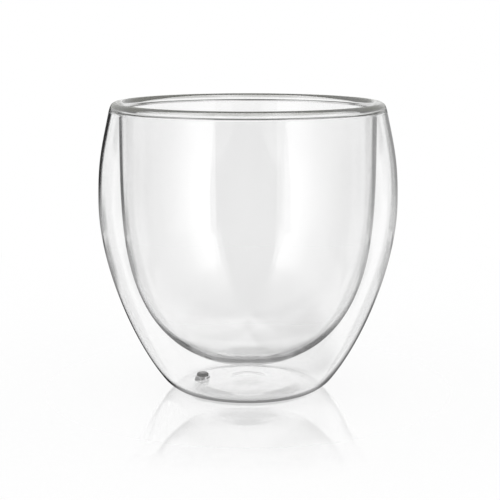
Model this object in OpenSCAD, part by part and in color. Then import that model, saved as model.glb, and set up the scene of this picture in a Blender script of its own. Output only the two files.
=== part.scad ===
// Double walled glass cup: a deep round bowl hangs inside a bellied outer glass.
// The two are melted together at the mouth, and a plug seals the air between them.
// Origin: centre of the base on the table. +Z is up. All lengths are in millimetres.

/* [Outline] */
// Height from the table to the top of the rim
cup_h = 87.5; // [80:0.5:110]
// Outer diameter where the outer glass meets the rim
mouth_d = 83.4; // [79:0.2:88]
// Lean of the outer glass towards the axis at the mouth, in degrees
mouth_lean = 12; // [4:1:18]
// How far the belly stands out past the mouth, all round
belly_out = 3.4; // [1.5:0.1:10]
// Height of the widest place above the table
belly_z = 57.8; // [50:0.2:66]

/* [Heel and foot] */
// Diameter where the wall turns into the rounded heel
heel_d = 51.8; // [48:0.2:58]
// Height of that turn above the table
heel_z = 3.5; // [2.4:0.1:7]
// Lean of the wall away from the axis just above the heel, in degrees
heel_lean = 39; // [30:1:46]
// Outer diameter of the narrow ring that the cup stands on
foot_d = 40.4; // [37:0.2:44]
// Width of that ring
foot_w = 1.5; // [0.8:0.1:2]
// Rise of the floor's middle above the table
floor_rise = 1.6; // [1.2:0.1:3.5]
// Diameter of the shallow round dimple under the floor
dimple_d = 11.8; // [6:0.2:18]
// Depth of that dimple
dimple_h = 0.15; // [0.1:0.05:0.6]

/* [Glass] */
// Thickness of the outer glass near the mouth and at the heel
shell_t = 0.8; // [0.7:0.05:1.5]
// Thickness of the outer glass halfway up, where it is blown thinnest
shell_thin_t = 0.45; // [0.4:0.05:0.7]
// Thickness of the outer glass in its floor
floor_t = 1.3; // [1:0.05:2]
// Thickness of the inner glass at the mouth
bowl_t = 1.2; // [0.9:0.05:1.8]
// Thickness of the inner glass halfway down, where it is blown thinnest
bowl_thin_t = 0.75; // [0.6:0.05:0.9]
// Thickness of the inner glass at its lowest point
bowl_low_t = 2.4; // [1.2:0.1:3]
// Diameter of the thicker glass round that point
bowl_low_d = 44; // [30:1:60]
// Width of the air space between the two glasses just under the rim
air_w = 2.35; // [1.2:0.05:4]
// Height of the air space between the two floors
air_h = 4.6; // [4:0.1:12]

/* [Rim] */
// Height of the melted rim above the ends of the two glasses
rim_h = 3.1; // [2.6:0.1:4]
// Rise of the rounded end of the air space into the rim
rim_arch = 1.1; // [0.5:0.05:1.3]

/* [Vent] */
// Distance of the vent hole from the axis
vent_reach = 14.1; // [12:0.1:14.8]
// Direction of the vent hole, in degrees round the axis from +X
vent_turn = 180; // [0:5:355]
// Diameter of the tapered vent hole at the underside of the floor
vent_d = 1.5; // [1:0.1:1.8]
// Diameter of the hole at its top
vent_top_d = 2.9; // [2.2:0.1:3]
// Outer diameter of the thickened glass round the hole
vent_lip_d = 4.2; // [4:0.1:4.8]
// Height of that thickened glass above the floor
vent_lip_h = 0.5; // [0.2:0.05:0.7]
// Gap between the plug's stem and the wall of the hole
vent_gap = 0.05; // [0.02:0.01:0.1]
// Diameter of the plug's head, which rests on the thickened glass
plug_head_d = 3.7; // [3.4:0.1:3.9]
// Height of the plug's head
plug_head_h = 0.95; // [0.6:0.05:2]
// Depth of the plug's lower end inside the hole
plug_sink = 0.2; // [0.1:0.05:0.4]

/* [Hidden] */

// Points along each stretch of an outline, and round each piece
wall_steps = 22;
bend_steps = 10;
round_fn = 96;
small_fn = 48;
// Extra length of a cut past the glass on either side
overrun = 1;

// Lengths of the curves' handles, as shares of the stretch that each one shapes
mouth_handle_share = 0.39;
belly_top_handle_share = 0.46;
belly_low_handle_share = 0.37;
heel_top_handle_share = 0.25;
heel_handle_share = 0.37;
foot_handle_share = 0.21;
// Powers that shape the inner bowl: straight sides above, a deep round bottom below
bowl_side_power = 3.85;
bowl_floor_power = 2.15;
// Width in which the heel's glass thickens into the floor, as a share of the foot's radius
thickening_share = 0.4;
// Power that shapes the raised floor of the outer glass
floor_power = 2;
// Width of the dimple's sloping edge, as a share of its diameter
dimple_edge_share = 0.2;
// Fullness of the rim's rounded outer and inner corners
rim_side_share = 0.66;
rim_top_share = 0.55;
// Height of the rounding round the plug's head, as a share of the head's height
head_round_share = 0.6;

mouth_r = mouth_d / 2;
belly_r = mouth_r + belly_out;
heel_r = heel_d / 2;
foot_r = foot_d / 2;
foot_in_r = foot_r - foot_w;
dimple_r = dimple_d / 2;
// Height of the flat ends of both glasses, on which the rim sits
seam_z = cup_h - rim_h;
// Radii of the glasses' ends at that height, from the outside in
shell_end_r = mouth_r - shell_t / cos(mouth_lean);
bowl_r = shell_end_r - air_w;
bowl_in_r = bowl_r - bowl_t;
// Underside of the inner bowl at the axis
bowl_z = floor_rise + floor_t + air_h;

// Height of the outer glass's underside at a distance r from the axis
function floor_z(r) = floor_rise * (1 - pow(r / foot_in_r, floor_power));

vent_r = vent_d / 2;
vent_top_r = vent_top_d / 2;
vent_under_z = floor_z(vent_reach + vent_r);
vent_seat_z = floor_z(vent_reach - vent_lip_d / 2) + floor_t + vent_lip_h;

// Point at share t along a cubic curve from a to d with handle points b and c
function curve_at(a, b, c, d, t) =
    pow(1 - t, 3) * a + 3 * pow(1 - t, 2) * t * b + 3 * (1 - t) * t * t * c + pow(t, 3) * d;

// Points along such a curve, without its last one
function curve(a, b, c, d, steps) = [for (i = [0 : steps - 1]) curve_at(a, b, c, d, i / steps)];

// Unit vector square to a path at its point i, to the right of its run
function side_way(path, i) =
    let (run = path[min(i + 1, len(path) - 1)] - path[max(i - 1, 0)])
    [run[1], -run[0]] / norm(run);

// A list of points from its end to its start
function reversed(path) = [for (i = [len(path) - 1 : -1 : 0]) path[i]];

// A share that starts and ends its growth gently
function eased(share) = (1 - cos(180 * share)) / 2;

// Thickness of a blown wall at share u of its height: thinnest halfway up
function blown_t(end_t, thin_t, u) = end_t - (end_t - thin_t) * pow(sin(180 * u), 2);

// Inside of a glass: its outside moved inward by the thickness at each point, with given ends
function inside(path, start, end, t) = concat(
    [start],
    [for (i = [1 : len(path) - 2]) path[i] + t[i] * side_way(path, i)],
    [end]
);

// Outside of the outer glass from the seam at the mouth to its foot
mouth_way = [sin(mouth_lean), -cos(mouth_lean)];
heel_way = [sin(heel_lean), cos(heel_lean)];
mouth_point = [mouth_r, seam_z];
belly_point = [belly_r, belly_z];
heel_point = [heel_r, heel_z];
foot_point = [foot_r, 0];
upper_h = seam_z - belly_z;
lower_h = belly_z - heel_z;
heel_w = norm(heel_point - foot_point);

upper_curve = curve(
    mouth_point,
    mouth_point + mouth_handle_share * upper_h * mouth_way,
    belly_point + [0, belly_top_handle_share * upper_h],
    belly_point,
    wall_steps
);
lower_curve = curve(
    belly_point,
    belly_point - [0, belly_low_handle_share * lower_h],
    heel_point + heel_top_handle_share * lower_h * heel_way,
    heel_point,
    wall_steps
);
heel_curve = curve(
    heel_point,
    heel_point - heel_handle_share * heel_w * heel_way,
    foot_point + [foot_handle_share * heel_w, 0],
    foot_point,
    bend_steps
);
floor_curve = [
    for (i = [0 : wall_steps])
        let (r = foot_in_r * (1 - i / wall_steps)) [r, floor_z(r)]
];
shell_outside = concat(upper_curve, lower_curve, heel_curve, [foot_point], floor_curve);

// Thickness of the outer glass at each of those points, which grows from the foot inward
shell_ts = [
    for (p = shell_outside)
        let (in_share = min(1, max(0, (foot_r - p[0]) / (thickening_share * foot_r))))
        blown_t(shell_t, shell_thin_t, p[1] / seam_z) + (floor_t - shell_t) * eased(in_share)
];
shell_inside = inside(shell_outside, [shell_end_r, seam_z], [0, floor_rise + floor_t], shell_ts);

// The dimple replaces the middle of the underside
dimple_edge = dimple_edge_share * dimple_d;
shell_under = concat(
    [for (p = shell_outside) if (p[0] > dimple_r || p[1] > heel_z) p],
    [
        [dimple_r, floor_z(dimple_r)],
        [dimple_r - dimple_edge, floor_z(dimple_r - dimple_edge) + dimple_h],
        [0, floor_rise + dimple_h]
    ]
);

// Outside of the inner bowl, from the seam down to its lowest point
bowl_outside = [
    for (i = [0 : 2 * wall_steps])
        let (u = 1 - pow(1 - i / (2 * wall_steps), 2))
        [
            bowl_r * pow(1 - pow(u, bowl_side_power), 1 / bowl_floor_power),
            seam_z - u * (seam_z - bowl_z)
        ]
];
// Thickness of the bowl at each of those points, which grows towards the lowest point
bowl_ts = [
    for (p = bowl_outside)
        let (near_share = max(0, 1 - 2 * p[0] / bowl_low_d))
        blown_t(bowl_t, bowl_thin_t, (p[1] - bowl_z) / (seam_z - bowl_z))
            + (bowl_low_t - bowl_t) * eased(near_share)
];
bowl_inside = inside(bowl_outside, [bowl_in_r, seam_z], [0, bowl_z + bowl_low_t], bowl_ts);

// Outer glass with the vent hole through the thickened glass of its floor
module outer_shell() {
    color("#e4ebec", 0.45) difference() {
        union() {
            rotate_extrude($fn = round_fn) polygon(concat(shell_under, reversed(shell_inside)));
            vent_lip();
        }
        at_vent() vent_hole();
    }
}

// Inner glass that holds the drink
module inner_bowl() {
    color("#dfe6e7", 0.45) rotate_extrude($fn = round_fn) polygon(
        concat(bowl_outside, reversed(bowl_inside))
    );
}

// Rounded ring of glass where both walls are melted into one
module fused_rim() {
    crown_r = (mouth_r + bowl_in_r) / 2;
    outer_corner = curve(
        mouth_point,
        mouth_point - rim_side_share * rim_h * mouth_way,
        [crown_r + rim_top_share * (mouth_r - crown_r), cup_h],
        [crown_r, cup_h],
        bend_steps
    );
    inner_corner = curve(
        [crown_r, cup_h],
        [crown_r - rim_top_share * (crown_r - bowl_in_r), cup_h],
        [bowl_in_r, seam_z + rim_side_share * rim_h],
        [bowl_in_r, seam_z],
        bend_steps
    );
    arch = [
        for (i = [0 : bend_steps])
            let (turn = 180 - 180 * i / bend_steps)
            [bowl_r + air_w / 2 * (1 + cos(turn)), seam_z + rim_arch * sin(turn)]
    ];
    color("#cfd8da", 0.6) rotate_extrude($fn = round_fn) polygon(
        concat(outer_corner, inner_corner, [[bowl_in_r, seam_z]], arch)
    );
}

// Silicone plug: a round head on the thickened glass, and a tapered stem in the hole
module vent_plug() {
    head_r = plug_head_d / 2;
    low_z = vent_under_z + plug_sink;
    taper = (vent_top_r - vent_r) / (vent_seat_z - vent_under_z);
    head_z = vent_seat_z + plug_head_h;
    round_r = head_round_share * plug_head_h;
    head_corner = [
        for (i = [0 : bend_steps])
            let (turn = 90 * i / bend_steps)
            [head_r - round_r * (1 - cos(turn)), head_z - round_r * (1 - sin(turn))]
    ];
    color("#6b6a68") at_vent() rotate_extrude($fn = small_fn) polygon(
        concat(
            [
                [0, low_z],
                [vent_r + taper * plug_sink - vent_gap, low_z],
                [vent_top_r - vent_gap, vent_seat_z],
                [head_r, vent_seat_z]
            ],
            head_corner,
            [[0, head_z]]
        )
    );
}

// Places its children at the vent, on the table's plane
module at_vent() {
    rotate([0, 0, vent_turn]) translate([vent_reach, 0, 0]) children();
}

// Thickened glass round the hole, from the middle of the floor's thickness to a flat top
module vent_lip() {
    intersection() {
        at_vent() cylinder(h = vent_seat_z, d = vent_lip_d, $fn = small_fn);
        translate([0, 0, floor_t / 2]) rotate_extrude($fn = round_fn) polygon(
            concat([foot_point], floor_curve, [[0, cup_h], [foot_r, cup_h]])
        );
    }
}

// Tapered cut that runs past the glass on both sides
module vent_hole() {
    rotate_extrude($fn = small_fn) polygon([
        [0, -overrun],
        [vent_r, -overrun],
        [vent_r, vent_under_z],
        [vent_top_r, vent_seat_z],
        [vent_top_r, vent_seat_z + overrun],
        [0, vent_seat_z + overrun]
    ]);
}

outer_shell();
inner_bowl();
fused_rim();
vent_plug();
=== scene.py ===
"""Double walled glass cup: turned glass walls, a melted rim and a silicone vent plug,
on a pale glossy floor in a white studio. All lengths are in metres."""
import math
from typing import NamedTuple

import bmesh
import bpy
import numpy as np
from mathutils import Matrix, Vector


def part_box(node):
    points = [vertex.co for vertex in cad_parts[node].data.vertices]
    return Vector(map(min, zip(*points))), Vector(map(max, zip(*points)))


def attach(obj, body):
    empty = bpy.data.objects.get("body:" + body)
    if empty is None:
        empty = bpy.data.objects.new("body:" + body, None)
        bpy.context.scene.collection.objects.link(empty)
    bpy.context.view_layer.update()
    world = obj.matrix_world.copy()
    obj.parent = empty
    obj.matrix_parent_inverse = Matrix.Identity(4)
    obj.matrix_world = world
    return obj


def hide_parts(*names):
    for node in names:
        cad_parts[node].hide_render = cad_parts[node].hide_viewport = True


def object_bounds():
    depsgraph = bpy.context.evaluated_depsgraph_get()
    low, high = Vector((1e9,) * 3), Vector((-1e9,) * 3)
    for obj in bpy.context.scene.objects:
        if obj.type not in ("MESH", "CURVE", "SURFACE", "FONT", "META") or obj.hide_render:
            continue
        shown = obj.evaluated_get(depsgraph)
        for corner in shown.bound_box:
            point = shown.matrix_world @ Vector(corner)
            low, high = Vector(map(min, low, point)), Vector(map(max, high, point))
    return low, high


bl_info = {
    "name": "Double Walled Glass Cup",
    "version": (1, 0, 0),
    "blender": (4, 5, 0),
    "location": "3D Viewport > Sidebar > Glass Cup",
    "description": "Turns the glass walls, rim and vent plug of a double walled cup round its packed model",
    "category": "Mesh",
}

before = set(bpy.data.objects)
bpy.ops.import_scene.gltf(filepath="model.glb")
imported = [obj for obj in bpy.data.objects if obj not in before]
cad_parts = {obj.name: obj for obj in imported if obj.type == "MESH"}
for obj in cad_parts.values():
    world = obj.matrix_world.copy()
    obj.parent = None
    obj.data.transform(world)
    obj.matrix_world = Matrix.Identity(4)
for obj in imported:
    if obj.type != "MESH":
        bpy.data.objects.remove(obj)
CAD_BOX = [list(corner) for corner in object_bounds()]
CUP_TOP = CAD_BOX[1][2]

MM = 0.001
BODY = "root"
WHITE = "#ffffff"
# How a tree's nodes are laid out in the node editor
NODES_IN_ROW = 12
NODE_STEP = 190
ROW_STEP = 260

# Points closer than this are one point
TOUCH = 0.004 * MM
# An outline is thinned to points this far apart before it is made smooth
THINNED = 5 * TOUCH
# How many of its points are mirrored past the axis, and how far one may still stray past it
MIRRORED = 3
AXIS_SLACK = 1e-6 * MM
# A bend in an outline sharper than this stays a corner
CORNER = math.radians(28)
# Steps of the arc at a rounded corner, and the most that it takes of the stretches beside it
ARC_STEPS = 5
ARC_SHARE = 0.45
# Points of a turned piece that are closer than this merge, and edges shorter than this go
MERGED = TOUCH / 8
SLIVER = TOUCH / 16
# Faces that meet at a sharper angle than this show an edge
SHARP_EDGE = math.radians(40)

# Picks one of the ways in which blown walls can wander
RIPPLE_SEED = 3.0
# Faces round the vent, how many times wider its lip is at the root, and how far its hole is cut
# past the glass
VENT_TURNS = 64
LIP_FLARE = 1.2
OVERRUN = 1 * MM
# Faces round the plug, and the distance between rings of it along its outline
PLUG_TURNS = 64
PLUG_SPACING = 0.2 * MM

GLASS_IOR = 1.473
# How many turns of a ray in the glass are a long way, and the strength of the painted glow given then
LONG_WAY = 16
PAINTED_GLOW = 0.16
# Width of the cords in the blown walls, how many times as long they are, and the levels of noise
# between which they get dense
CORD = 9 * MM
CORD_STRETCH = 5
CORD_NOISE = (0.35, 0.7)
# Heights between which the rim's glass gets a matt olive-grey layer, painted shade and light that
# stands in for the dark ring of the thick glass and for the light lost in it
CROWN_START = CUP_TOP - 1.4 * MM
CROWN_FULL = CUP_TOP - 0.9 * MM
# Length of the streaks in that layer, how many times their height that is, the levels of noise
# between which they get dense, and the share of painted shade between the streaks and in them
STREAK = 14 * MM
STREAK_SQUASH = 6
STREAK_NOISE = (0.3, 0.6)
PAINTED_RING_SHARES = (0.2, 0.42)

SILICONE_IOR = 1.41
SILICONE_ROUGHNESS = 0.35
# Colour of the painted shade at the edge of the plug's head, and the distances from the middle of
# the seat between which the head gets that dark
EDGE_SHADE_COLOUR = "#55544f"
EDGE_SHADE_START = 0.9 * MM
EDGE_SHADE_FULL = 1.7 * MM
# Colour of the painted light down its stem, and the depth below the seat at which it is that pale
STEM_LIGHT_COLOUR = "#b4b3b1"
STEM_LIGHT_FADE = 0.5 * MM
# Colour, size and strength of its grain
GRAIN_COLOUR = "#3a3938"
GRAIN = 0.6 * MM
GRAIN_SHARE = 0.15

# Sides of the round floor, its depth below the cup, which keeps the two apart, and how rough it is
FLOOR_TURNS = 96
FLOOR_DROP = 0.1 * MM
FLOOR_ROUGHNESS = 0.06
# Place before the cup, a little above the floor, from which the floor's cards are laid out
FLOOR_EYE = (0, -55 * MM, 35 * MM)
# Little light gets to the floor under the cup, and least right under the edge of its foot. Each
# ring has the distances from the axis where it starts, is full, starts to fade and ends, and
# its level
FLOOR_SHADOW_RINGS = (
    ((-2 * MM, -1 * MM, 16 * MM, 20 * MM), 0.55),
    ((17 * MM, 19 * MM, 22 * MM, 26 * MM), 0.25),
)


def hex_colour(code):
    """Turns an sRGB hex colour such as "#80ff00" into a linear RGBA colour."""
    shares = [int(code[i:i + 2], 16) / 255 for i in (1, 3, 5)]
    return [s / 12.92 if s <= 0.04045 else ((s + 0.055) / 1.055) ** 2.4 for s in shares] + [1.0]


def add_node(tree, kind, inputs=(), **settings):
    """Adds a node with its settings. Its inputs come in order or by name, and each is a value,
    a socket, or a node that gives its first output."""
    row, column = divmod(len(tree.nodes), NODES_IN_ROW)
    node = tree.nodes.new(kind)
    node.location = (NODE_STEP * column, -ROW_STEP * row)
    for name, value in settings.items():
        setattr(node, name, value)
    for socket, value in inputs.items() if isinstance(inputs, dict) else enumerate(inputs):
        if isinstance(value, bpy.types.Node):
            value = next(output for output in value.outputs if output.enabled)
        if isinstance(value, bpy.types.NodeSocket):
            tree.links.new(value, node.inputs[socket])
        else:
            node.inputs[socket].default_value = value
    return node


class CupLooks(bpy.types.PropertyGroup):
    """Sizes and colours of the cup's pieces that a user may change."""
    turns: bpy.props.IntProperty(
        name="Turns", description="Faces round each piece of glass", default=256, min=24, max=320)
    spacing: bpy.props.FloatProperty(
        name="Spacing", description="Distance between rings of the glass along its outline",
        default=1.1 * MM, min=0.3 * MM, max=5 * MM, unit="LENGTH")
    ripple: bpy.props.FloatProperty(
        name="Ripple", description="How far the blown walls wander from a true round",
        default=0.03 * MM, min=0, max=0.5 * MM, unit="LENGTH")
    ripple_width: bpy.props.FloatProperty(
        name="Ripple Width", description="Distance from one ripple of the glass to the next",
        default=28 * MM, min=2 * MM, max=200 * MM, unit="LENGTH")
    vent_gap: bpy.props.FloatProperty(
        name="Vent Gap", description="Gap between the plug's stem and the wall of its hole",
        default=0.05 * MM, min=0.01 * MM, max=0.1 * MM, unit="LENGTH")
    lip_width: bpy.props.FloatProperty(
        name="Lip Width", description="Width of the thickened glass round the vent, at its top",
        default=4.2 * MM, min=4 * MM, max=4.8 * MM, unit="LENGTH")
    lip_root: bpy.props.FloatProperty(
        name="Lip Root", description="Depth of the thickened glass, from its top into the floor",
        default=1.3 * MM, min=0.8 * MM, max=1.5 * MM, unit="LENGTH")
    plug_edge: bpy.props.FloatProperty(
        name="Plug Edge", description="Radius of the moulded edges of the vent plug",
        default=0.16 * MM, min=0.02 * MM, max=0.3 * MM, unit="LENGTH")
    glass_colour: bpy.props.FloatVectorProperty(
        name="Glass Colour", description="Colour of the denser cords in the clear walls",
        subtype="COLOR", size=4, default=hex_colour("#fefefe"))
    # The rim's colour is the painted shade of its olive-grey ring
    rim_shade_colour: bpy.props.FloatVectorProperty(
        name="Rim Colour", description="Colour of the cloud in the thick melted rim",
        subtype="COLOR", size=4, default=hex_colour("#75766a"))
    plug_colour: bpy.props.FloatVectorProperty(
        name="Plug Colour", description="Colour of the silicone plug",
        subtype="COLOR", size=4, default=hex_colour("#b8b7b5"))


class StudioLooks(bpy.types.PropertyGroup):
    """Sizes and colours of the floor, the surroundings and the camera."""
    floor_size: bpy.props.FloatProperty(
        name="Floor Size", description="Width of the round floor", default=500 * MM, unit="LENGTH")
    floor_gloss: bpy.props.FloatProperty(
        name="Floor Gloss", description="How strongly the floor mirrors the cup where it stands",
        default=0.35, min=0, max=1, subtype="FACTOR")
    gloss_near: bpy.props.FloatProperty(
        name="Gloss Near", description="Distance from the cup's axis at which the gloss starts to fade",
        default=55 * MM, unit="LENGTH")
    gloss_far: bpy.props.FloatProperty(
        name="Gloss Far", description="Distance from the cup's axis at which the gloss is gone",
        default=90 * MM, unit="LENGTH")
    floor_colour: bpy.props.FloatVectorProperty(
        name="Floor Colour", description="Colour of the floor and the backdrop",
        subtype="COLOR", size=4, default=hex_colour(WHITE))
    floor_glow: bpy.props.FloatProperty(
        name="Floor Glow", description="Share of the floor that shows its own white and no shadow",
        default=0.85, min=0, max=1, subtype="FACTOR")
    camera_distance: bpy.props.FloatProperty(
        name="Camera Distance", description="Distance of the camera in front of the cup's axis",
        default=415 * MM, unit="LENGTH")
    camera_height: bpy.props.FloatProperty(
        name="Camera Height", description="Height of the camera above the floor",
        default=116 * MM, unit="LENGTH")
    lens: bpy.props.FloatProperty(
        name="Lens", description="Focal length of the camera in millimetres", default=99.5, min=10)


def section_of(node_name, axis=(0, 0)):
    """Ordered (radius, height) points of a turned CAD node, on the +X side of its axis."""
    slab = bmesh.new()
    slab.from_mesh(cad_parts[node_name].data)
    bmesh.ops.translate(slab, verts=slab.verts, vec=(-axis[0], -axis[1], 0))
    bmesh.ops.remove_doubles(slab, verts=slab.verts, dist=TOUCH)
    bmesh.ops.bisect_plane(
        slab, geom=slab.verts[:] + slab.edges[:] + slab.faces[:], dist=TOUCH,
        plane_co=(0, 0, 0), plane_no=(0, 1, 0))
    beside = {}
    for edge in slab.edges:
        if all(abs(v.co.y) < TOUCH and v.co.x > -TOUCH for v in edge.verts):
            for here, there in (edge.verts, reversed(edge.verts)):
                beside.setdefault(here, []).append(there)
    # A piece that reaches its axis has an open section that ends there, and a ring has a closed one
    ends = [v for v in beside if len(beside[v]) == 1]
    start = max(ends or beside, key=lambda v: (v.co.z, v.co.x))
    chain, came_from, here = [], None, start
    while here is not None:
        chain.append((0.0 if here in ends else here.co.x, here.co.z))
        onward = [v for v in beside[here] if v is not came_from and (v is not start or len(chain) > 2)]
        came_from, here = here, onward[0] if onward and onward[0] is not start else None
    if not ends:
        chain.append(chain[0])
    slab.free()
    return chain


def bend_at(chain, i):
    """Angle by which a chain of points turns at its point i."""
    before = Vector(chain[i]) - Vector(chain[i - 1])
    after = Vector(chain[i + 1]) - Vector(chain[i])
    return abs(before.angle(after, 0))


def curve_through(points, spacing):
    """Points at most one spacing apart on the natural cubic spline through the given points."""
    at = np.array(points)
    steps = np.linalg.norm(np.diff(at, axis=0), axis=1)
    last = len(at) - 1
    ties = np.identity(last + 1)
    pulls = np.zeros_like(at)
    for i in range(1, last):
        ties[i, i - 1:i + 2] = steps[i - 1], 2 * (steps[i - 1] + steps[i]), steps[i]
        pulls[i] = 6 * ((at[i + 1] - at[i]) / steps[i] - (at[i] - at[i - 1]) / steps[i - 1])
    bends = np.linalg.solve(ties, pulls)
    curve = []
    for i, step in enumerate(steps):
        parts = max(2, math.ceil(step / spacing))
        for t in np.arange(parts) / parts:
            hang = (1 - t) ** 3 - (1 - t), t ** 3 - t
            curve.append((1 - t) * at[i] + t * at[i + 1]
                         + step ** 2 / 6 * (hang[0] * bends[i] + hang[1] * bends[i + 1]))
    return curve + [at[-1]]


def smooth_outline(chain, spacing):
    """A chain of points made smooth and dense, with its sharp corners kept."""
    tidy = [chain[0]]
    for point in chain[1:]:
        if math.dist(point, tidy[-1]) > THINNED:
            tidy.append(point)
    # Past the axis the outline is mirrored, so that it crosses the axis level
    if tidy[0][0] == 0:
        tidy = [(-r, z) for r, z in tidy[MIRRORED:0:-1]] + tidy
    if tidy[-1][0] == 0:
        tidy = tidy + [(-r, z) for r, z in tidy[-2:-2 - MIRRORED:-1]]
    corners = [i for i in range(1, len(tidy) - 1) if bend_at(tidy, i) > CORNER]
    marks = [0] + corners + [len(tidy) - 1]
    curve = []
    for first, last in zip(marks, marks[1:]):
        curve += curve_through(tidy[first:last + 1], spacing)
    return [(r, z) for r, z in curve if r > -AXIS_SLACK]


def rounded(chain, radius):
    """A chain of points with each of its sharp corners replaced by a small arc."""
    soft = [chain[0]]
    for i in range(1, len(chain) - 1):
        here, before, after = (Vector(p) for p in (chain[i], chain[i - 1], chain[i + 1]))
        if bend_at(chain, i) < CORNER:
            soft.append(chain[i])
            continue
        cut = min(radius, ARC_SHARE * (before - here).length, ARC_SHARE * (after - here).length)
        start = here + cut * (before - here).normalized()
        end = here + cut * (after - here).normalized()
        for step in range(ARC_STEPS + 1):
            t = step / ARC_STEPS
            soft.append(tuple((1 - t) ** 2 * start + 2 * t * (1 - t) * here + t * t * end))
    return soft + [chain[-1]]


def new_object(name, data):
    """A new object for a mesh or a camera, in the scene."""
    thing = bpy.data.objects.new(name, data)
    bpy.context.scene.collection.objects.link(thing)
    return thing


def outline_object(name, outline):
    """An object whose vertices are the outline's points in order, ready to be turned."""
    mesh = bpy.data.meshes.new(name)
    links = [(i, i + 1) for i in range(len(outline) - 1)]
    mesh.from_pydata([(r, 0, z) for r, z in outline], links, [])
    return new_object(name, mesh)


def new_geometry_tree(name, inputs):
    """A Geometry Nodes tree that gives one geometry, and the sockets that its inputs come from.
    Each input has a name, a kind, and a default or None."""
    tree = bpy.data.node_groups.new(name, "GeometryNodeTree")
    for label, kind, default in inputs:
        socket = tree.interface.new_socket(label, in_out="INPUT", socket_type="NodeSocket" + kind)
        if default is not None:
            socket.default_value = default
    tree.interface.new_socket("Result", in_out="OUTPUT", socket_type="NodeSocketGeometry")
    return tree, add_node(tree, "NodeGroupInput").outputs


def lathe_tree():
    """Geometry Nodes tree that turns an outline about the Z axis into a wall of blown glass."""
    tree = bpy.data.node_groups.get("Turned Glass")
    if tree:
        return tree
    # As long as they aren't set, the inputs give a true round with no ripple and no seam
    tree, given = new_geometry_tree("Turned Glass", (
        ("Outline", "Geometry", None),
        ("Turns", "Int", None),
        ("Ripple", "Float", 0.0),
        ("Ripple Width", "Float", 1.0),
        ("Reach", "Float", 1.0),
        ("Seam Height", "Float", -1.0),
        ("Glass", "Material", None),
        ("Seam", "Material", None),
    ))

    # A grid with one row for each point of the outline, and one column for each turn
    count = add_node(tree, "GeometryNodeAttributeDomainSize", {"Geometry": given["Outline"]})
    columns = add_node(tree, "ShaderNodeMath", (given["Turns"], 1.0), operation="ADD")
    grid = add_node(tree, "GeometryNodeMeshGrid", {"Vertices X": count, "Vertices Y": columns})
    index = add_node(tree, "GeometryNodeInputIndex")
    middle = add_node(tree, "ShaderNodeMath", (index, 0.5), operation="ADD")
    rows = add_node(tree, "ShaderNodeMath", (middle, columns), operation="DIVIDE")
    row = add_node(tree, "ShaderNodeMath", (rows,), operation="FLOOR")
    row_start = add_node(tree, "ShaderNodeMath", (row, columns), operation="MULTIPLY")
    column = add_node(tree, "ShaderNodeMath", (index, row_start), operation="SUBTRACT")
    full_turns = add_node(tree, "ShaderNodeMath", (column, given["Turns"]), operation="DIVIDE")
    angle = add_node(tree, "ShaderNodeMath", (full_turns, math.tau), operation="MULTIPLY")

    # Each row of the grid is bent round the axis at its point's radius and height
    here = add_node(tree, "GeometryNodeInputPosition")
    point = add_node(
        tree, "GeometryNodeSampleIndex",
        {"Geometry": given["Outline"], "Value": here, "Index": row}, data_type="FLOAT_VECTOR")
    spot = add_node(tree, "ShaderNodeSeparateXYZ", (point,)).outputs
    turned = add_node(tree, "ShaderNodeCombineXYZ", {"Z": spot["Z"]})
    for axis, function in (("X", "COSINE"), ("Y", "SINE")):
        share = add_node(tree, "ShaderNodeMath", (angle,), operation=function)
        reach = add_node(tree, "ShaderNodeMath", (spot["X"], share), operation="MULTIPLY")
        tree.links.new(reach.outputs[0], turned.inputs[axis])
    wall = add_node(tree, "GeometryNodeSetPosition", {"Geometry": grid, "Position": turned})
    closed = add_node(tree, "GeometryNodeMergeByDistance", {"Geometry": wall, "Distance": MERGED})

    # Blown glass wanders in and out a little, more where it is wide
    scale = add_node(tree, "ShaderNodeMath", (1.0, given["Ripple Width"]), operation="DIVIDE")
    noise = add_node(
        tree, "ShaderNodeTexNoise",
        {"Vector": here, "W": RIPPLE_SEED, "Scale": scale, "Detail": 0.0}, noise_dimensions="4D")
    centred = add_node(tree, "ShaderNodeMath", (noise, 0.5), operation="SUBTRACT")
    swing = add_node(tree, "ShaderNodeMath", (centred, 2.0), operation="MULTIPLY")
    drift = add_node(tree, "ShaderNodeMath", (swing, given["Ripple"]), operation="MULTIPLY")
    size = add_node(tree, "ShaderNodeMath", (drift, given["Reach"]), operation="DIVIDE")
    outward = add_node(tree, "ShaderNodeVectorMath", (here, (1, 1, 0)), operation="MULTIPLY")
    shift = add_node(tree, "ShaderNodeVectorMath", {0: outward, "Scale": size}, operation="SCALE")
    blown = add_node(tree, "GeometryNodeSetPosition", {"Geometry": closed, "Offset": shift})

    # The flat faces where two pieces are melted together have a finish of their own
    height = add_node(tree, "ShaderNodeSeparateXYZ", (here,)).outputs["Z"]
    above_seam = add_node(tree, "ShaderNodeMath", (height, given["Seam Height"]), operation="SUBTRACT")
    from_seam = add_node(tree, "ShaderNodeMath", (above_seam,), operation="ABSOLUTE")
    at_seam = add_node(tree, "ShaderNodeMath", (from_seam, TOUCH), operation="LESS_THAN")
    whole = add_node(tree, "GeometryNodeRealizeInstances", {"Geometry": blown})
    glazed = add_node(tree, "GeometryNodeSetMaterial", {"Geometry": whole, "Material": given["Glass"]})
    seamed = add_node(
        tree, "GeometryNodeSetMaterial",
        {"Geometry": glazed, "Selection": at_seam, "Material": given["Seam"]})
    add_node(tree, "NodeGroupOutput", (seamed,))
    return tree


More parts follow.
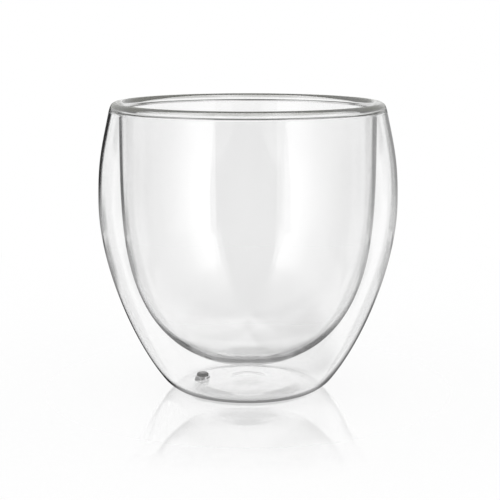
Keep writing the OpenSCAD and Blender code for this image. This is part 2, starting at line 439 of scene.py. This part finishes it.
def vent_tree():
    """Geometry Nodes tree that raises a lip on the floor of the glass and opens the tapered vent in it."""
    tree, given = new_geometry_tree("Vent", (
        ("Wall", "Geometry", None),
        ("Lip Place", "Vector", None),
        ("Lip Radius", "Float", None),
        ("Lip Height", "Float", None),
        ("Hole Place", "Vector", None),
        ("Hole Low Radius", "Float", None),
        ("Hole Top Radius", "Float", None),
        ("Hole Depth", "Float", None),
        ("Glass", "Material", None),
    ))
    lip_foot = add_node(tree, "ShaderNodeMath", (given["Lip Radius"], LIP_FLARE), operation="MULTIPLY")
    forms = []
    for low, top, height, place in (
        (lip_foot, given["Lip Radius"], given["Lip Height"], given["Lip Place"]),
        (given["Hole Low Radius"], given["Hole Top Radius"], given["Hole Depth"], given["Hole Place"]),
    ):
        cone = add_node(tree, "GeometryNodeMeshCone", {
            "Vertices": VENT_TURNS, "Radius Bottom": low, "Radius Top": top, "Depth": height})
        glazed = add_node(tree, "GeometryNodeSetMaterial", {"Geometry": cone, "Material": given["Glass"]})
        forms.append(add_node(tree, "GeometryNodeTransform", {"Geometry": glazed, "Translation": place}))
    lip, hole = forms
    raised = add_node(
        tree, "GeometryNodeMeshBoolean", {"Mesh 2": given["Wall"]}, operation="UNION", solver="EXACT")
    tree.links.new(lip.outputs[0], raised.inputs["Mesh 2"])
    opened = add_node(
        tree, "GeometryNodeMeshBoolean", {"Mesh 1": raised, "Mesh 2": hole},
        operation="DIFFERENCE", solver="EXACT")
    whole = add_node(tree, "GeometryNodeRealizeInstances", {"Geometry": opened})
    add_node(tree, "NodeGroupOutput", (whole,))
    return tree


def add_tree(thing, tree, values):
    """Puts a tree on an object as a modifier and sets its inputs by name."""
    modifier = thing.modifiers.new(tree.name, "NODES")
    modifier.node_group = tree
    sockets = {s.name: s.identifier for s in tree.interface.items_tree if s.in_out == "INPUT"}
    for name, value in values.items():
        modifier[sockets[name]] = value


def settled(thing, name):
    """A plain mesh object with the object's modifiers worked in, which takes its place."""
    bpy.context.view_layer.update()
    result = thing.evaluated_get(bpy.context.evaluated_depsgraph_get())
    mesh = bpy.data.meshes.new_from_object(result)
    mesh.name = name
    old_mesh = thing.data
    thing.modifiers.clear()
    bpy.data.objects.remove(thing)
    bpy.data.meshes.remove(old_mesh)
    skin = bmesh.new()
    skin.from_mesh(mesh)
    bmesh.ops.dissolve_degenerate(skin, edges=skin.edges, dist=SLIVER)
    bmesh.ops.recalc_face_normals(skin, faces=skin.faces)
    skin.to_mesh(mesh)
    skin.free()
    mesh.shade_smooth()
    mesh.set_sharp_from_angle(angle=SHARP_EDGE)
    return new_object(name, mesh)


def hand_over(piece, node_name):
    """Hides a piece's CAD node and puts the piece on the cup's body in its place."""
    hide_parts(node_name)
    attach(piece, BODY)


def new_material(name):
    """A new material with no nodes yet."""
    material = bpy.data.materials.new(name)
    material.use_nodes = True
    material.node_tree.nodes.clear()
    return material


def glass_body(tree, colour):
    """Shader of mirror smooth borosilicate glass. Where light turns in it very many times, as it
    does from the melted rim down both walls, the glass gives a dim painted glow of fixed strength instead."""
    glass = add_node(tree, "ShaderNodeBsdfPrincipled", {
        "Base Color": colour, "Roughness": 0.0, "IOR": GLASS_IOR, "Transmission Weight": 1.0})
    # Painted light: a fixed glow stands in for the light that gets out after a long way
    painted_glow = add_node(tree, "ShaderNodeEmission", {"Strength": PAINTED_GLOW})
    turns = add_node(tree, "ShaderNodeLightPath").outputs["Ray Depth"]
    long_way = add_node(tree, "ShaderNodeMath", (turns, LONG_WAY), operation="GREATER_THAN")
    return add_node(tree, "ShaderNodeMixShader", (long_way, glass, painted_glow))


def clear_glass(name, colour):
    """Borosilicate glass, blown and fire polished: clear and colourless, with cords of very
    slightly denser glass that were drawn long as it was blown."""
    material = new_material(name)
    tree = material.node_tree
    place = add_node(tree, "ShaderNodeTexCoord").outputs["Object"]
    drawn = add_node(tree, "ShaderNodeVectorMath", (place, (1, 1, 1 / CORD_STRETCH)), operation="MULTIPLY")
    noise = add_node(tree, "ShaderNodeTexNoise", {"Vector": drawn, "Scale": 1 / CORD, "Detail": 2.0})
    cords = add_node(
        tree, "ShaderNodeMapRange",
        {"Value": noise, "From Min": CORD_NOISE[0], "From Max": CORD_NOISE[1]},
        interpolation_type="SMOOTHSTEP")
    tint = add_node(
        tree, "ShaderNodeMix", {"Factor": cords, "A": hex_colour(WHITE), "B": colour}, data_type="RGBA")
    add_node(tree, "ShaderNodeOutputMaterial", {"Surface": glass_body(tree, tint)})
    return material


def rim_glass(colour):
    """Borosilicate glass melted to a thick round crown. There a matt olive-grey layer is mixed into
    the glass in faint streaks round the mouth: painted shade and light, which stands in for the dark
    ring that the thick glass shows and for the light lost in it."""
    material = new_material("fire_polished_rim")
    tree = material.node_tree
    place = add_node(tree, "ShaderNodeTexCoord").outputs["Object"]
    height = add_node(tree, "ShaderNodeSeparateXYZ", (place,)).outputs["Z"]
    crown = add_node(
        tree, "ShaderNodeMapRange", {"Value": height, "From Min": CROWN_START, "From Max": CROWN_FULL},
        interpolation_type="SMOOTHSTEP")
    squashed = add_node(tree, "ShaderNodeVectorMath", (place, (1, 1, STREAK_SQUASH)), operation="MULTIPLY")
    noise = add_node(tree, "ShaderNodeTexNoise", {"Vector": squashed, "Scale": 1 / STREAK, "Detail": 1.0})
    streaks = add_node(tree, "ShaderNodeMapRange", {
        "Value": noise, "From Min": STREAK_NOISE[0], "From Max": STREAK_NOISE[1],
        "To Min": PAINTED_RING_SHARES[0], "To Max": PAINTED_RING_SHARES[1],
    }, interpolation_type="SMOOTHSTEP")
    painted_ring = add_node(tree, "ShaderNodeMath", (crown, streaks), operation="MULTIPLY")
    clear = glass_body(tree, hex_colour(WHITE))
    # Painted shade and light: a matt olive-grey stands in for the dark ring of the thick glass and the
    # light lost in it
    painted_ring_layer = add_node(tree, "ShaderNodeBsdfDiffuse", {"Color": colour})
    body = add_node(tree, "ShaderNodeMixShader", (painted_ring, clear, painted_ring_layer))
    add_node(tree, "ShaderNodeOutputMaterial", {"Surface": body})
    return material


def melted_seam():
    """Glass melted into glass: nothing shows where the two pieces meet."""
    material = bpy.data.materials.get("melted_seam")
    if material is None:
        material = new_material("melted_seam")
        tree = material.node_tree
        through = add_node(tree, "ShaderNodeBsdfTransparent")
        add_node(tree, "ShaderNodeOutputMaterial", {"Surface": through})
    return material


def silicone(colour, vent):
    """Moulded silicone rubber, slightly translucent. The plug's head has painted shade at its edge,
    and its thin stem is painted paler with painted light, where light comes through."""
    material = new_material("moulded_silicone")
    tree = material.node_tree
    place = add_node(tree, "ShaderNodeTexCoord").outputs["Object"]
    height = add_node(tree, "ShaderNodeSeparateXYZ", (place,)).outputs["Z"]
    seat = (vent["x"], vent["y"], vent["seat_z"])
    from_seat = add_node(tree, "ShaderNodeVectorMath", (place, seat), operation="DISTANCE")
    # Painted shade darkens the edge of the head, and painted light makes the stem paler below the seat
    shade = colour
    for value, start, full, other in (
        (from_seat, EDGE_SHADE_START, EDGE_SHADE_FULL, EDGE_SHADE_COLOUR),
        (height, vent["seat_z"], vent["seat_z"] - STEM_LIGHT_FADE, STEM_LIGHT_COLOUR),
    ):
        share = add_node(
            tree, "ShaderNodeMapRange", {"Value": value, "From Min": start, "From Max": full},
            interpolation_type="SMOOTHSTEP")
        shade = add_node(
            tree, "ShaderNodeMix", {"Factor": share, "A": shade, "B": hex_colour(other)}, data_type="RGBA")
    noise = add_node(tree, "ShaderNodeTexNoise", {"Vector": place, "Scale": 1 / GRAIN})
    grain = add_node(tree, "ShaderNodeMath", (noise, GRAIN_SHARE), operation="MULTIPLY")
    shade = add_node(
        tree, "ShaderNodeMix", {"Factor": grain, "A": shade, "B": hex_colour(GRAIN_COLOUR)},
        data_type="RGBA")
    rubber = add_node(tree, "ShaderNodeBsdfPrincipled", {
        "Base Color": shade, "Roughness": SILICONE_ROUGHNESS, "IOR": SILICONE_IOR})
    add_node(tree, "ShaderNodeOutputMaterial", {"Surface": rubber})
    return material


def turn_glass(node_name, material):
    """Turns one glass piece from its CAD node's outline."""
    looks = bpy.context.scene.cup_looks
    outline = smooth_outline(section_of(node_name), looks.spacing)
    blank = outline_object(node_name + "_outline", outline)
    add_tree(blank, lathe_tree(), {
        "Turns": looks.turns,
        "Ripple": looks.ripple,
        "Ripple Width": looks.ripple_width,
        "Reach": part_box("outer_shell")[1].x,
        "Seam Height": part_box("fused_rim")[0].z,
        "Glass": material,
        "Seam": melted_seam(),
    })
    return blank


def vent_sizes():
    """Place and outline of the vent plug, and its stem's heights and radii at the lower end and
    at the seat."""
    low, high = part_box("vent_plug")
    x, y = (low.x + high.x) / 2, (low.y + high.y) / 2
    chain = section_of("vent_plug", (x, y))
    head_r = max(r for r, z in chain)
    seat_z = min(z for r, z in chain if r > head_r - TOUCH)
    return {
        "x": x, "y": y, "chain": chain, "seat_z": seat_z, "low_z": low.z,
        "low_r": max(r for r, z in chain if z < low.z + TOUCH),
        "top_r": max(r for r, z in chain if abs(z - seat_z) < TOUCH and r < head_r - TOUCH),
    }


class CUP_OT_outer_shell(bpy.types.Operator):
    """Turn the bellied outer glass and open the vent in its floor"""
    bl_idname = "cup.outer_shell"
    bl_label = "Outer Shell"

    def execute(self, context):
        looks = context.scene.cup_looks
        glass = clear_glass("borosilicate_wall", looks.glass_colour)
        blank = turn_glass("outer_shell", glass)
        vent = vent_sizes()
        taper = (vent["top_r"] - vent["low_r"]) / (vent["seat_z"] - vent["low_z"])
        add_tree(blank, vent_tree(), {
            "Lip Place": (vent["x"], vent["y"], vent["seat_z"] - looks.lip_root),
            "Lip Radius": looks.lip_width / 2,
            "Lip Height": looks.lip_root,
            "Hole Place": (vent["x"], vent["y"], vent["low_z"] - OVERRUN),
            "Hole Low Radius": vent["low_r"] + looks.vent_gap - taper * OVERRUN,
            "Hole Top Radius": vent["top_r"] + looks.vent_gap + taper * OVERRUN,
            "Hole Depth": vent["seat_z"] - vent["low_z"] + 2 * OVERRUN,
            "Glass": glass,
        })
        piece = settled(blank, "outer_glass_wall")
        hand_over(piece, "outer_shell")
        return {"FINISHED"}


class CUP_OT_inner_bowl(bpy.types.Operator):
    """Turn the deep round inner glass"""
    bl_idname = "cup.inner_bowl"
    bl_label = "Inner Bowl"

    def execute(self, context):
        looks = context.scene.cup_looks
        glass = clear_glass("borosilicate_bowl", looks.glass_colour)
        piece = settled(turn_glass("inner_bowl", glass), "inner_glass_bowl")
        hand_over(piece, "inner_bowl")
        return {"FINISHED"}


class CUP_OT_fused_rim(bpy.types.Operator):
    """Turn the rounded rim where both glasses are melted together"""
    bl_idname = "cup.fused_rim"
    bl_label = "Fused Rim"

    def execute(self, context):
        looks = context.scene.cup_looks
        glass = rim_glass(looks.rim_shade_colour)
        piece = settled(turn_glass("fused_rim", glass), "fused_glass_rim")
        hand_over(piece, "fused_rim")
        return {"FINISHED"}


class CUP_OT_vent_plug(bpy.types.Operator):
    """Turn the small silicone plug that seals the vent"""
    bl_idname = "cup.vent_plug"
    bl_label = "Vent Plug"

    def execute(self, context):
        looks = context.scene.cup_looks
        vent = vent_sizes()
        outline = smooth_outline(rounded(vent["chain"], looks.plug_edge), PLUG_SPACING)
        blank = outline_object("vent_plug_outline", outline)
        add_tree(blank, lathe_tree(), {"Turns": PLUG_TURNS, "Glass": silicone(looks.plug_colour, vent)})
        piece = settled(blank, "silicone_vent_plug")
        piece.data.transform(Matrix.Translation((vent["x"], vent["y"], 0)))
        hand_over(piece, "vent_plug")
        return {"FINISHED"}


def mirrored_in_glass(tree):
    """1 for a ray that left the cup after a sharp reflection, and 0 for every other ray."""
    path = add_node(tree, "ShaderNodeLightPath").outputs
    after_mirror = add_node(tree, "ShaderNodeMath", (path["Glossy Depth"], 0.5), operation="GREATER_THAN")
    before_matt = add_node(tree, "ShaderNodeMath", (path["Diffuse Depth"], 0.5), operation="LESS_THAN")
    sharp = add_node(tree, "ShaderNodeMath", (after_mirror, path["Is Singular Ray"]), operation="MULTIPLY")
    return add_node(tree, "ShaderNodeMath", (sharp, before_matt), operation="MULTIPLY")


class Card(NamedTuple):
    """A soft-edged area of the studio, as the glass mirrors it. Turns are degrees away from the
    camera's side and rises are degrees above the horizon. Each gives where the card starts,
    is full, starts to fade and ends."""
    name: str
    side: int
    turns: tuple
    rises: tuple
    level: float
    seen_on: str = "all round"


LEFT, BOTH, RIGHT = -1, 0, 1
# Bounds past the ends of both scales, for cards that run on to there
FROM_CAMERA, TO_BEHIND = (-2, -1), (181, 182)
FROM_BELOW, TO_ABOVE = (-92, -91), (91, 92)
ALL_HEIGHTS = FROM_BELOW + TO_ABOVE
# On the floor these cards are painted shade and light in its own glow, and in the world they are the
# studio's light
CARDS = (
    Card("grey room", BOTH, FROM_CAMERA + (100, 132), ALL_HEIGHTS, 0.6),
    Card("camera's side", BOTH, FROM_CAMERA + (45, 75), ALL_HEIGHTS, 0.3),
    Card("left softbox", LEFT, (27.5, 29, 42, 74), (-85, 5, 26, 36), 1.3),
    Card("right softbox", RIGHT, (31, 32.5, 42, 74), (-70, 8, 26, 36), 1.2),
    Card("dark ceiling", BOTH, FROM_CAMERA + (95, 110), (26, 36) + TO_ABOVE, 0.25),
    Card("dim ceiling behind the cup", BOTH, (158, 166) + TO_BEHIND, (26, 32) + TO_ABOVE, 0.25),
    Card("grey stripe", BOTH, (90, 96, 132, 138), (2, 4, 8, 10), 0.4, "sky"),
    Card("grey wall beside", BOTH, (88, 94, 112, 124), (-12, -6, 6, 9), 0.4, "sky"),
    Card("left flag", LEFT, (147, 152, 170, 175), (-22, -14, 0, 4), 0.03, "sky"),
    Card("right flag", RIGHT, (138, 144, 168, 173), (-22, -14, 0, 4), 0.3, "sky"),
    Card("left flag's foot", LEFT, (151, 153, 164, 167), (-42, -32, 0, 1), 0.0, "floor"),
    Card("right flag's foot", RIGHT, (147, 153, 162, 167), (-42, -32, 0, 1), 0.15, "floor"),
    Card("pale table's edge, left", LEFT, (136, 142, 172, 174), (-14, -11, -8.5, -6), 0.3),
    Card("pale table's edge, right", RIGHT, (136, 142, 172, 174), (-14, -11, -8.5, -6), 0.5),
    Card("gap behind the floor", BOTH, (173.5, 176.5) + TO_BEHIND, (-24, -20, 0, 1), 0.0, "floor"),
    Card("dim right corner", RIGHT, (90, 98, 140, 150), FROM_BELOW + (-36, -26), 0.1, "floor"),
    Card("dim left corner", LEFT, (90, 98, 118, 126), FROM_BELOW + (-40, -34), 0.3, "floor"),
)


def lay_over(tree, level, area_level, spans):
    """A brightness with a soft-edged area of another one laid over it. The area has a span or
    more: a value, and where the area starts along it, is full, starts to fade and ends."""
    share = 1.0
    for value, (start, full, fade, end) in spans:
        for outside, inside in ((start, full), (end, fade)):
            edge = add_node(
                tree, "ShaderNodeMapRange", {"Value": value, "From Min": outside, "From Max": inside},
                interpolation_type="SMOOTHSTEP")
            share = add_node(tree, "ShaderNodeMath", (share, edge), operation="MULTIPLY")
    return add_node(
        tree, "ShaderNodeMix", {"Factor": share, "A": level, "B": area_level}, data_type="FLOAT")


def surroundings(tree, way, seen_on):
    """Brightness of the studio in a direction, as it is mirrored in the glass: white, with
    the cards that are all round and those of the sky or the floor."""
    straight = add_node(tree, "ShaderNodeVectorMath", (way,), operation="NORMALIZE")
    part = add_node(tree, "ShaderNodeSeparateXYZ", (straight,)).outputs
    to_camera = add_node(tree, "ShaderNodeMath", (part["Y"], -1.0), operation="MULTIPLY")
    turn = add_node(tree, "ShaderNodeMath", (part["X"], to_camera), operation="ARCTAN2")
    turns = {
        LEFT: add_node(tree, "ShaderNodeMath", (turn, -1.0), operation="MULTIPLY"),
        BOTH: add_node(tree, "ShaderNodeMath", (turn,), operation="ABSOLUTE"),
        RIGHT: turn,
    }
    rise = add_node(tree, "ShaderNodeMath", (part["Z"],), operation="ARCSINE")
    level = 1.0
    for card in CARDS:
        if card.seen_on in ("all round", seen_on):
            level = lay_over(tree, level, card.level, (
                (turns[card.side], map(math.radians, card.turns)),
                (rise, map(math.radians, card.rises)),
            ))
    return level


def white_acrylic(studio):
    """Polished white acrylic: it mirrors the cup where that stands, and farther out it is matt
    and runs into the white surroundings. Light mirrored in the glass sees a painted glow on it
    instead, with painted shade from the studio's cards and a painted shadow under the cup."""
    material = new_material("white_acrylic_floor")
    tree = material.node_tree
    place = add_node(tree, "ShaderNodeTexCoord").outputs["Object"]
    from_axis = add_node(tree, "ShaderNodeVectorMath", (place,), operation="LENGTH")
    gloss = add_node(tree, "ShaderNodeMapRange", {
        "Value": from_axis, "From Min": studio.gloss_near, "From Max": studio.gloss_far,
        "To Min": studio.floor_gloss, "To Max": 0.0,
    }, interpolation_type="SMOOTHSTEP")
    matt = add_node(tree, "ShaderNodeBsdfDiffuse", {"Color": studio.floor_colour})
    white = add_node(tree, "ShaderNodeEmission", {"Color": studio.floor_colour, "Strength": 1.0})
    path = add_node(tree, "ShaderNodeLightPath").outputs
    seen = path["Is Camera Ray"]
    for way in ("Is Glossy Ray", "Is Transmission Ray"):
        seen = add_node(tree, "ShaderNodeMath", (seen, path[way]), operation="MAXIMUM")
    glow = add_node(tree, "ShaderNodeMath", (seen, studio.floor_glow), operation="MULTIPLY")
    body = add_node(tree, "ShaderNodeMixShader", (glow, matt, white))
    shine = add_node(tree, "ShaderNodeBsdfAnisotropic", {
        "Color": studio.floor_colour, "Roughness": FLOOR_ROUGHNESS})
    lit = add_node(tree, "ShaderNodeMixShader", (gloss, body, shine))
    # For light mirrored in the glass the floor glows: the cards and the rings under the cup are painted
    # shade in that glow
    from_eye = add_node(tree, "ShaderNodeVectorMath", (place, FLOOR_EYE), operation="SUBTRACT")
    level = surroundings(tree, from_eye, "floor")
    # Painted shadow on the floor, under the cup and darkest under the edge of its foot
    for bounds, shadow_level in FLOOR_SHADOW_RINGS:
        level = lay_over(tree, level, shadow_level, ((from_axis, bounds),))
    cards = add_node(tree, "ShaderNodeEmission", {"Color": studio.floor_colour, "Strength": level})
    mixed = add_node(tree, "ShaderNodeMixShader", (mirrored_in_glass(tree), lit, cards))
    add_node(tree, "ShaderNodeOutputMaterial", {"Surface": mixed})
    return material


def build_floor(studio):
    """Round floor, just under the cup."""
    disc = bmesh.new()
    bmesh.ops.create_circle(disc, cap_ends=True, radius=studio.floor_size / 2, segments=FLOOR_TURNS)
    mesh = bpy.data.meshes.new("studio_floor")
    disc.to_mesh(mesh)
    disc.free()
    mesh.materials.append(white_acrylic(studio))
    floor = new_object("studio_floor", mesh)
    floor.location.z = -FLOOR_DROP


def build_world(studio):
    """White surroundings, which the glass mirrors as a studio with dim and bright places."""
    world = bpy.data.worlds.new("white_studio")
    bpy.context.scene.world = world
    world.use_nodes = True
    tree = world.node_tree
    tree.nodes.clear()
    way = add_node(tree, "ShaderNodeTexCoord").outputs["Generated"]
    strength = add_node(
        tree, "ShaderNodeMix",
        {"Factor": mirrored_in_glass(tree), "A": 1.0, "B": surroundings(tree, way, "sky")},
        data_type="FLOAT")
    light = add_node(tree, "ShaderNodeBackground", {"Color": studio.floor_colour, "Strength": strength})
    add_node(tree, "ShaderNodeOutputWorld", {"Surface": light})


def build_camera(studio):
    """A long lens a little above the cup, aimed at its middle. The picture is slid a little, so
    that the cup stands in it where the photograph has it."""
    data = bpy.data.cameras.new("photo_camera")
    data.lens = studio.lens
    data.sensor_width = 36
    data.shift_x = 0.004
    data.shift_y = -0.009
    camera = new_object("photo_camera", data)
    camera.location = (0, -studio.camera_distance, studio.camera_height)
    aim = Vector((0, 0, CUP_TOP / 2))
    camera.rotation_euler = (aim - camera.location).to_track_quat("-Z", "Y").to_euler()
    bpy.context.scene.camera = camera


class CUP_OT_studio(bpy.types.Operator):
    """Set the floor, the white surroundings and the camera"""
    bl_idname = "cup.studio"
    bl_label = "Studio"

    def execute(self, context):
        studio = context.scene.cup_studio
        build_floor(studio)
        build_world(studio)
        build_camera(studio)
        context.scene.view_settings.view_transform = "Standard"
        # Light that runs inside a wall of glass turns at its faces many times
        context.scene.cycles.max_bounces = 32
        context.scene.cycles.transmission_bounces = 32
        context.scene.cycles.glossy_bounces = 16
        context.scene.cycles.transparent_max_bounces = 48
        return {"FINISHED"}


OPERATORS = (CUP_OT_outer_shell, CUP_OT_inner_bowl, CUP_OT_fused_rim, CUP_OT_vent_plug, CUP_OT_studio)


class CUP_PT_panel(bpy.types.Panel):
    """Lists the cup's pieces and its studio in the sidebar"""
    bl_idname = "CUP_PT_panel"
    bl_label = "Glass Cup"
    bl_space_type = "VIEW_3D"
    bl_region_type = "UI"
    bl_category = "Glass Cup"

    def draw(self, context):
        for operator in OPERATORS:
            self.layout.operator(operator.bl_idname)


CLASSES = (CupLooks, StudioLooks) + OPERATORS + (CUP_PT_panel,)


def register():
    """Makes the classes and the scene's settings known to Blender."""
    for one in CLASSES:
        bpy.utils.register_class(one)
    bpy.types.Scene.cup_looks = bpy.props.PointerProperty(type=CupLooks)
    bpy.types.Scene.cup_studio = bpy.props.PointerProperty(type=StudioLooks)


def unregister():
    """Undoes what register does, in reverse."""
    del bpy.types.Scene.cup_studio
    del bpy.types.Scene.cup_looks
    for one in reversed(CLASSES):
        bpy.utils.unregister_class(one)


def main():
    """Makes every piece and the studio."""
    register()
    for make in (
        bpy.ops.cup.outer_shell,
        bpy.ops.cup.inner_bowl,
        bpy.ops.cup.fused_rim,
        bpy.ops.cup.vent_plug,
        bpy.ops.cup.studio,
    ):
        make()


if __name__ == "__main__":
    main()
